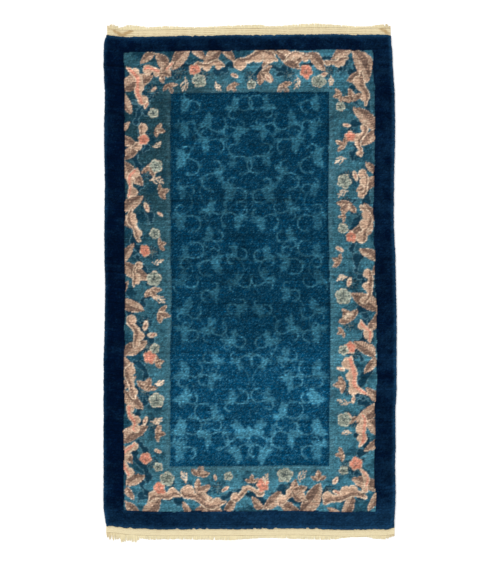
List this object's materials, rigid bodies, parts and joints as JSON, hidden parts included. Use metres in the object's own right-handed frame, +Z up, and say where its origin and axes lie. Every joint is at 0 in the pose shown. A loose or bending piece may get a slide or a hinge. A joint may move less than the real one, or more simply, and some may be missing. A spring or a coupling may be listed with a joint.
{
  "type": "chinese rug",
  "caption": "Small rectangular hand-knotted wool rug with a cut pile, two borders round a field, and a woven cotton web and short fringe at each end.",
  "frame": {"origin": "on the floor, under the centre of the whole rug with its fringes", "axes": "+Y along the rug's length towards its head end, +Z up through the pile, +X across the rug"},
  "size_m": [0.925, 1.6383, 0.013],
  "materials": {
    "wool_pile": "dense cut wool pile, matt with a soft sheen, deep navy border, teal inner border and field",
    "cotton_web": "undyed cream cotton, flat weft-faced weave with fine ribs, matt",
    "cotton_fringe": "undyed cream cotton warp ends, cut short, soft and matt"
  },
  "bodies": {
    "root": {"knotted_rug": "wool_pile", "cotton_web_head": "cotton_web", "fringe_head": "cotton_fringe", "cotton_web_foot": "cotton_web", "fringe_foot": "cotton_fringe"}
  },
  "joints": []
}
